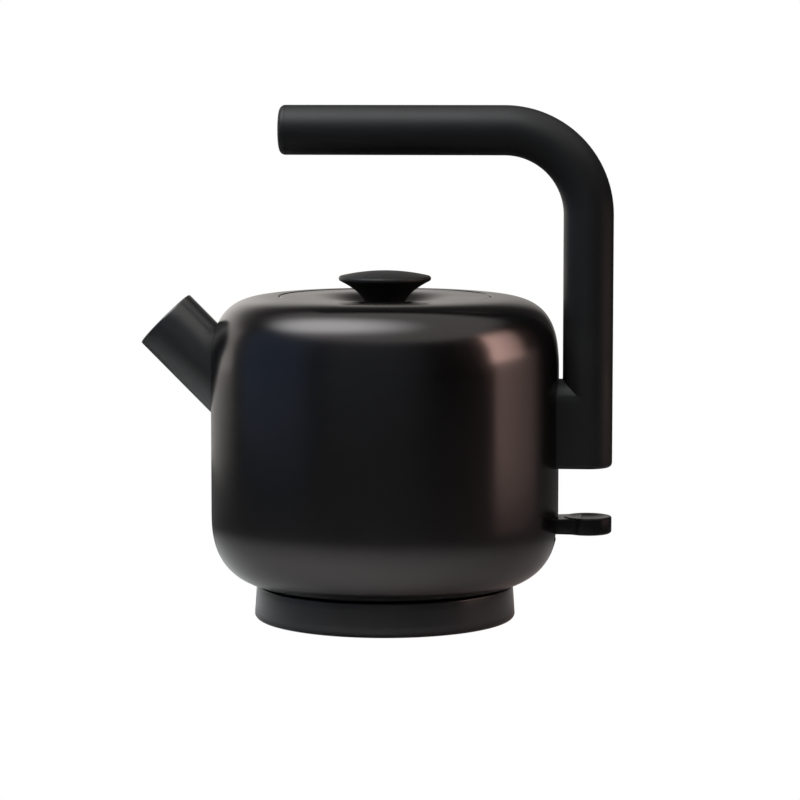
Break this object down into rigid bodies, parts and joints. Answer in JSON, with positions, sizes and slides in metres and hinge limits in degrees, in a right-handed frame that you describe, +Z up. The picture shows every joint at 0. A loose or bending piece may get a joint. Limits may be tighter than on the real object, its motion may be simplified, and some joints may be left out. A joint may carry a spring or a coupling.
{
  "type": "cordless electric kettle",
  "caption": "Cordless electric kettle: drum body on a round power base, straight angled spout, lift-off lid with a flared knob, bar handle over the lid and a round rocker switch.",
  "frame": {"origin": "on the kettle's vertical axis, at the middle of the power base's underside, on the surface that the base stands on", "axes": "+Z up along the kettle's axis, +X towards the handle and the switch, -X towards the spout, +Y away from the viewer, towards the cord inlet"},
  "size_m": [0.2262, 0.1666, 0.2463],
  "materials": {
    "body_coating": "satin metallic gunmetal coating on stainless steel",
    "soft_black": "matte soft-touch black",
    "gloss_black": "polished black",
    "base_black": "satin black",
    "inner_plastic": "moulded heat-resistant plastic",
    "stainless": "brushed stainless steel",
    "aluminium": "plain rolled",
    "brass": "bright contact metal",
    "silicone": "matte silicone"
  },
  "bodies": {
    "power_base": {"base_cover": "base_black", "base_bottom_plate": "inner_plastic", "base_connector": "inner_plastic", "base_contact_earth": "brass", "base_contact_live": "brass", "base_contact_neutral": "brass", "base_foot_1": "silicone", "base_foot_2": "silicone", "base_foot_3": "silicone", "base_foot_4": "silicone", "base_screw_1": "stainless", "base_screw_2": "stainless", "base_screw_3": "stainless", "cord_gland": "silicone"},
    "connector": {"kettle_connector": "inner_plastic", "connector_earth_pin": "brass", "connector_live_ring": "brass", "connector_neutral_ring": "brass"},
    "kettle": {"body_shell": "body_coating", "spout": "soft_black", "spout_strainer": "stainless", "element_plate": "stainless", "heat_spreader": "aluminium", "heating_element": "stainless", "control_body": "inner_plastic", "steam_tube": "inner_plastic", "steam_bimetal": "brass", "switch_frame": "inner_plastic", "switch_pivot_pin": "stainless", "bottom_cover": "inner_plastic", "bottom_screw_1": "stainless", "bottom_screw_2": "stainless", "bottom_screw_3": "stainless", "handle_bar": "soft_black", "handle_end_cap": "soft_black", "handle_backplate": "stainless", "handle_screw_1": "stainless", "handle_screw_2": "stainless"},
    "lid": {"lid_skin": "body_coating", "lid_pan": "inner_plastic", "lid_seal": "silicone", "lid_knob": "soft_black", "knob_screw": "stainless"},
    "switch_lever": {"switch_lever": "gloss_black"},
    "switch_plunger": {"switch_plunger": "inner_plastic"}
  },
  "joints": [
    {"name": "kettle_lift", "type": "slide", "parent": "power_base", "child": "connector", "axis": [0, 0, 1], "range_m": [0, 0.08]},
    {"name": "kettle_swivel", "type": "hinge", "parent": "connector", "child": "kettle", "pos_m": [0, 0, 0.015], "axis": [0, 0, 1], "continuous": true},
    {"name": "lid_lift", "type": "slide", "parent": "kettle", "child": "lid", "axis": [0, 0, 1], "range_m": [0, 0.05]},
    {"name": "switch_rock", "type": "hinge", "parent": "kettle", "child": "switch_lever", "pos_m": [0.062, 0, 0.0464], "axis": [0, 1, 0], "range_deg": [0, 8]},
    {"name": "switch_plunger_slide", "type": "slide", "parent": "kettle", "child": "switch_plunger", "axis": [-1, 0, 0], "range_m": [0, 0.00162]}
  ],
  "couplings": [
    {"joint": "switch_plunger_slide", "follows": "switch_rock", "m_per_rad": 0.0115}
  ]
}
